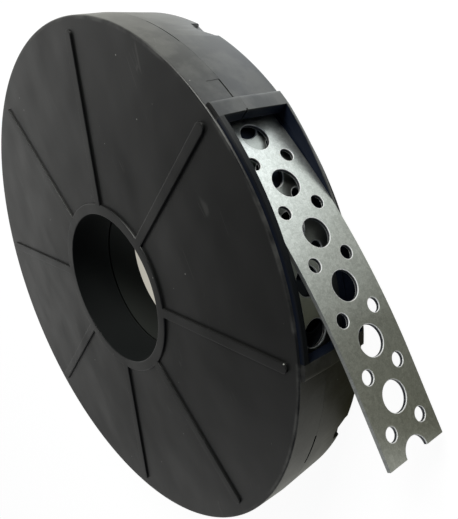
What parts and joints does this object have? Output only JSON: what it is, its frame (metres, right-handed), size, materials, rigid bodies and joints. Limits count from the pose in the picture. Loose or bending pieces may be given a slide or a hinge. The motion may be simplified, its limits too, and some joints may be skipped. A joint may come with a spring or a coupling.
{
  "type": "perforated steel strap in dispenser case",
  "caption": "Coil of perforated steel banding in a flat round two-part plastic dispenser, its end drawn out through a framed window in the rim.",
  "frame": {"origin": "on the bore's axis, at the plane that the back face's ribs rest on", "axes": "+Z along the bore axis from the back shell to the front shell; +X through the middle of the window; the strap leaves towards -Y"},
  "size_m": [0.1721, 0.163, 0.0263],
  "materials": {
    "case_plastic": "satin black moulding",
    "strap_steel": "hot-dip galvanised, dull"
  },
  "bodies": {
    "root": {"back_shell": "case_plastic", "front_shell": "case_plastic", "strap": "strap_steel"}
  },
  "joints": []
}
